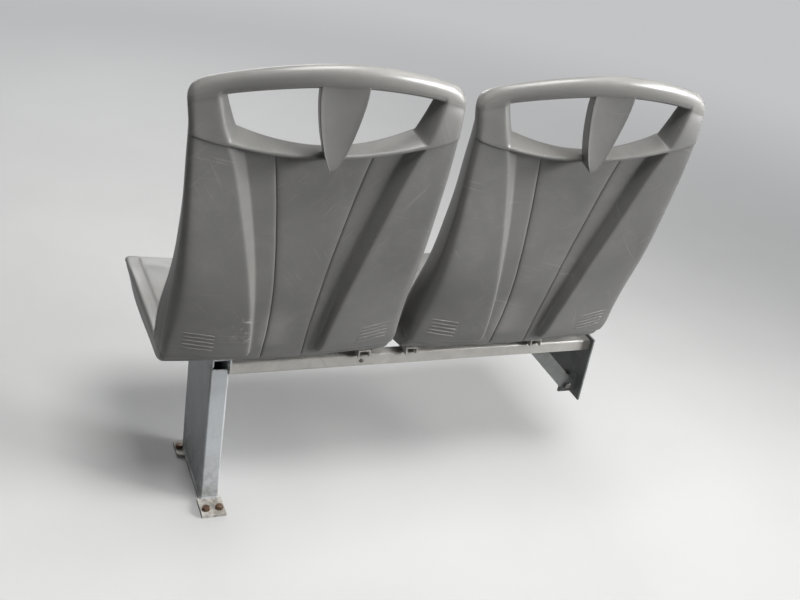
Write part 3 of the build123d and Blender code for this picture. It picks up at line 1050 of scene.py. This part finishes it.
def hexRing(flats, height, chamfer):
    # a hexagon whose corners are cut by a cone; the chamfer is the height lost at each corner
    def radius(angle):
        return flats / 2 / math.cos((angle % (math.pi / 3)) - math.pi / 6)

    return radius, lambda angle: height - chamfer * (radius(angle) - 0.47 * flats) / flats


def washer(mesh, size, matrix):
    outer, thick, edge = size["washer"], size["washerThick"], 0.0003
    rings = [plainRing(outer - edge, 0.0), plainRing(outer, edge), plainRing(outer, thick - edge),
             plainRing(outer - edge, thick), plainRing(0.3 * outer, thick)]
    ringStack(mesh, rings, matrix)


def hexHead(mesh, size, matrix):
    flats, base, top = size["flats"], size["washerThick"], size["washerThick"] + size["head"]
    rings = [hexRing(flats, base, 0.0), hexRing(flats, top, 4.5 * size["head"] / 5),
             plainRing(0.47 * flats, top), plainRing(0.44 * flats, top + 0.0001),
             plainRing(0.15 * flats, top)]
    ringStack(mesh, rings, matrix)


def threadEnd(mesh, size, matrix, length):
    shank, pitch, start = size["shank"], 0.00125, size["washerThick"] + size["head"]
    rings, at = [plainRing(shank, start)], start
    while at + pitch < start + length:
        rings += [plainRing(shank, at + 0.3 * pitch), plainRing(0.88 * shank, at + 0.8 * pitch)]
        at += pitch
    rings += [plainRing(0.8 * shank, start + length)]
    ringStack(mesh, rings, matrix)


def pointTo(place, direction):
    return Matrix.Translation(place) @ Vector(direction).to_track_quat("Z", "Y").to_matrix().to_4x4()


def fastenerPiece(name, size, places, thread=0.0, finish="bolt"):
    # places: where each head sits and the way it points; a thread end is added for a nut
    mesh = bmesh.new()
    for i, (place, direction) in enumerate(places):
        spin = Matrix.Rotation(fastenerTurns[i % len(fastenerTurns)], 4, "Z")
        matrix = pointTo(place, direction) @ spin
        washer(mesh, fastenerSizes[size], matrix)
        hexHead(mesh, fastenerSizes[size], matrix)
        if thread:
            threadEnd(mesh, fastenerSizes[size], matrix, thread)
    mesh.normal_update()
    finishPiece(meshData(mesh, name), name, finish).data.shade_flat()


rivet = {
    "x": 0.275,
    "z": 0.3025,
    # radius and height of the rings of its round head
    "dome": ((0.0044, 0.0), (0.0045, 0.0005), (0.0041, 0.0012), (0.0032, 0.0019), (0.0020, 0.0023),
             (0.0009, 0.0024), (0.0006, 0.0016)),
}


def rivetPiece(name, place):
    # one low round head on the rear rail's rear face
    mesh = bmesh.new()
    rings = [plainRing(radius, height) for radius, height in rivet["dome"]]
    ringStack(mesh, rings, pointTo(place, (0, -1, 0)))
    finishPiece(meshData(mesh, name), name, "bolt")


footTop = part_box("foot_plate")[1].z
plateLow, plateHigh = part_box("wall_plate")
bolted = {
    "floor": ((0.013, 0.0), (0.0265, 0.204)),       # half the gap across, and how far forward
    "wallGap": (0.086, 0.090),
    "strutPin": (0.762, 0.200),
    "nutThread": 0.003,
    "screwGap": 0.126,
    "screwSunk": 0.003,
}
floorPlaces = [((side * x, y, footTop), (0, 0, 1)) for x, y in bolted["floor"] for side in (-1, 1)]
fastenerPiece("floorBolts", "M8", floorPlaces, finish="rust")
wallMiddle = (plateLow + plateHigh) / 2
gapY, gapZ = bolted["wallGap"]
wallPlaces = [((plateLow.x, wallMiddle.y + a * gapY / 2, wallMiddle.z + b * gapZ / 2), (-1, 0, 0))
              for a in (-1, 1) for b in (-1, 1)]
fastenerPiece("wallBolts", "M10", wallPlaces)
pinX, pinZ = bolted["strutPin"]
boltPlaces = [((pinX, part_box("strut_" + end)[0].y, pinZ), (0, -1, 0)) for end in ("rear", "front")]
fastenerPiece("strutBolts", "M8", boltPlaces)
nutPlaces = [((pinX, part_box("lug_" + end)[1].y, pinZ), (0, 1, 0)) for end in ("rear", "front")]
fastenerPiece("strutNuts", "M8", nutPlaces, bolted["nutThread"])
screwPlaces = []
for strap in ("leg_head", *straps):
    low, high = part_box(strap)
    for side in (-1, 1):
        y = (low.y + high.y) / 2 + side * bolted["screwGap"] / 2
        screwPlaces.append((((low.x + high.x) / 2, y, high.z - bolted["screwSunk"]), (0, 0, -1)))
fastenerPiece("shellScrews", "M6", screwPlaces)
rivetPiece("railRivet", (rivet["x"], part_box("rail_rear")[0].y, rivet["z"]))
print("fasteners placed")

weld = {"size": 0.0024, "pitch": 0.0012, "ripple": 0.13, "sunk": 0.0006, "steps": 5, "inset": 0.003,
        "lugInset": 0.001, "strutFrom": 0.002, "strutTo": 0.040, "legBend": 0.004, "legSteps": 6}


def weldBead(mesh, stations, up):
    # stations: a point in the corner and the way out of it, along the bead
    places = []
    for (a, outA), (b, outB) in zip(stations, stations[1:]):
        a, b, outA, outB = Vector(a), Vector(b), Vector(outA), Vector(outB)
        count = max(1, math.ceil((b - a).length / weld["pitch"]))
        places += [(a.lerp(b, i / count), outA.lerp(outB, i / count).normalized()) for i in range(count)]
    places.append((Vector(stations[-1][0]), Vector(stations[-1][1])))
    up = Vector(up)
    loops = []
    for i, (place, out) in enumerate(places):
        fade = min(1.0, (min(i, len(places) - 1 - i) + 1) / 3)
        ripple = weld["ripple"] * (1 if i % 2 else -0.6)
        uneven = 0.05 * math.sin(1.7 * i) + 0.04 * math.sin(0.61 * i + 1)
        size = weld["size"] * (0.5 + 0.5 * fade) * (1 + ripple + uneven)
        loop = [mesh.verts.new(place - (out + up) * weld["sunk"])]
        for k in range(weld["steps"] + 1):
            angle = math.pi / 2 * k / weld["steps"]
            reach = size * (1 - 0.12 * math.sin(2 * angle))
            loop.append(mesh.verts.new(place + (out * math.cos(angle) + up * math.sin(angle)) * reach))
        loops.append(loop)
    closeLoops(mesh, loops)


def weldPiece(name, beads, finish):
    mesh = bmesh.new()
    for stations, up in beads:
        weldBead(mesh, stations, up)
    bmesh.ops.recalc_face_normals(mesh, faces=mesh.faces)
    finishPiece(meshData(mesh, name), name, finish)


def straightBead(start, end, out, up):
    return [(start, out), (end, out)], up


def edgesY(low, high):
    return (low.y, (0, -1, 0)), (high.y, (0, 1, 0))


def legBead():
    low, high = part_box("leg_box")
    bend = weld["legBend"]
    stations = [((low.x, high.y, footTop), (-1, 0, 0))]
    for x, turn in ((low.x + bend, math.pi), (high.x - bend, 1.5 * math.pi)):
        for i in range(weld["legSteps"] + 1):
            angle = turn + math.pi / 2 * i / weld["legSteps"]
            out = (math.cos(angle), math.sin(angle), 0)
            stations.append(((x + bend * out[0], low.y + bend + bend * out[1], footTop), out))
    stations.append(((high.x, high.y, footTop), (1, 0, 0)))
    return [(stations, (0, 0, 1))]


def railBeads():
    beads, inset = [], weld["inset"]
    for end in ("rear", "front"):
        low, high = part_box("rail_" + end)
        y0, y1 = low.y + inset, high.y - inset
        for x, up in ((low.x, (1, 0, 0)), (high.x, (-1, 0, 0))):
            for y, out in edgesY(low, high):
                beads.append(straightBead((x, y, low.z + inset), (x, y, high.z - inset), out, up))
            beads.append(straightBead((x, y0, low.z), (x, y1, low.z), (0, 0, -1), up))
        for strap in straps:
            strapLow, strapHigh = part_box(strap)
            for x, out in ((strapLow.x, (-1, 0, 0)), (strapHigh.x, (1, 0, 0))):
                beads.append(straightBead((x, y0, high.z), (x, y1, high.z), out, (0, 0, 1)))
    return beads


def bracketBeads():
    beads = []
    for end in ("rear", "front"):
        low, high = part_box("lug_" + end)
        z0, z1 = low.z + weld["lugInset"], high.z - weld["lugInset"]
        for y, out in edgesY(low, high):
            beads.append(straightBead((high.x, y, z0), (high.x, y, z1), out, (-1, 0, 0)))
        low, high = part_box("strut_" + end)
        x0, x1 = low.x + weld["strutFrom"], low.x + weld["strutTo"]
        for y, out in edgesY(low, high):
            beads.append(straightBead((x0, y, high.z), (x1, y, high.z), out, (0, 0, -1)))
    return beads


weldPiece("weldFoot", legBead(), "leg")
weldPiece("weldRails", railBeads(), "rail")
weldPiece("weldBracket", bracketBeads(), "bracket")
print("welds laid")


# Floor, lamps and world

backdrop = {
    "color": (0.97, 0.98, 1.0),
    "seen": 0.56,               # how bright the camera sees it
    "glossy": 0.32,             # how bright it shows in paint and metal
    "light": 0.08,              # what it gives as light
    "floorSeen": (0.56, 0.56, 0.56),
    "floorGlossy": (0.38, 0.38, 0.38),
    "floorLight": (0.20, 0.20, 0.20),
    "floorTints": ((0.97, 0.97, 0.963), (1.0, 1.0, 0.993)),
    "floorHalf": 12.0,
    "fade": (0.9, 4.6),         # how far from the seat the floor starts and ends to fade away
}


def makeStage():
    mesh = bpy.data.meshes.new("floor")
    half = backdrop["floorHalf"]
    mesh.from_pydata([(-half, -half, 0), (half, -half, 0), (half, half, 0), (-half, half, 0)], [],
                     [(0, 1, 2, 3)])
    floor = addObject("floor", mesh)
    material, shader, place = startMaterial("paleFloor")
    rays = addNode("ShaderNodeLightPath").outputs
    camera, glossy = rays["Is Camera Ray"], rays["Is Glossy Ray"]
    tint = mixColor(rampNode(noiseNode(place, 3.0, 5.0), 0.3, 0.7), *backdrop["floorTints"])
    # a pale floor for the camera that throws little light back up
    paint = mixColor(glossy, backdrop["floorLight"], backdrop["floorGlossy"])
    paint = mixColor(camera, paint, backdrop["floorSeen"])
    paint = mixColor(1.0, tint, paint, "MULTIPLY")
    # far off it fades into the backdrop, for the camera and a little less in paint and metal
    away = rampNode(vectorNode("LENGTH", {0: place})["Value"], *backdrop["fade"])
    far = times(away, mathNode("MAXIMUM", camera, times(glossy, 0.8)))
    feed(shader, {"Base Color": mixColor(far, paint, (0.0, 0.0, 0.0)), "Roughness": 0.8,
                  "Specular IOR Level": 0.0, "Emission Color": backdrop["color"],
                  "Emission Strength": times(far, backdrop["seen"])})
    mesh.materials.append(material)


lamps = [
    # name, place, aim, size, power, width of the beam in degrees
    ("ceiling", (0.3, -0.7, 2.8), (0.3, 0.0, 0.4), 1.2, 70.0, 180),
    ("aisleSide", (-2.4, -1.2, 1.6), (0.3, 0.0, 0.6), 1.8, 3.0, 180),
    ("wallSide", (4.0, -2.3, 1.45), (0.3, 0.0, 0.6), 1.4, 24.0, 60),
    ("window", (3.2, -0.75, 1.5), (0.3, -0.1, 0.6), 1.2, 10.0, 60),
    ("front", (0.2, 3.0, 2.0), (0.3, 0.0, 0.5), 1.8, 52.0, 180),
]


def makeLights():
    for name, place, aim, size, power, beam in lamps:
        data = bpy.data.lights.new(name, "AREA")
        data.shape = "SQUARE"
        data.size = size
        data.energy = power
        data.spread = math.radians(beam)
        lamp = addObject(name, data)
        lamp.location = place
        lamp.rotation_euler = (Vector(aim) - Vector(place)).to_track_quat("-Z", "Y").to_euler()
    world = bpy.data.worlds.new("studio")
    world.use_nodes = True
    building["tree"] = world.node_tree
    rays = addNode("ShaderNodeLightPath").outputs
    glossy = times(rays["Is Glossy Ray"], backdrop["glossy"] - backdrop["light"])
    seen = times(rays["Is Camera Ray"], backdrop["seen"] - backdrop["light"])
    strength = plus(plus(glossy, seen), backdrop["light"])
    feed(world.node_tree.nodes["Background"], {"Color": backdrop["color"], "Strength": strength})
    bpy.context.scene.world = world


makeStage()
makeLights()
bpy.context.scene.view_settings.view_transform = "Standard"
print("stage and lights set")
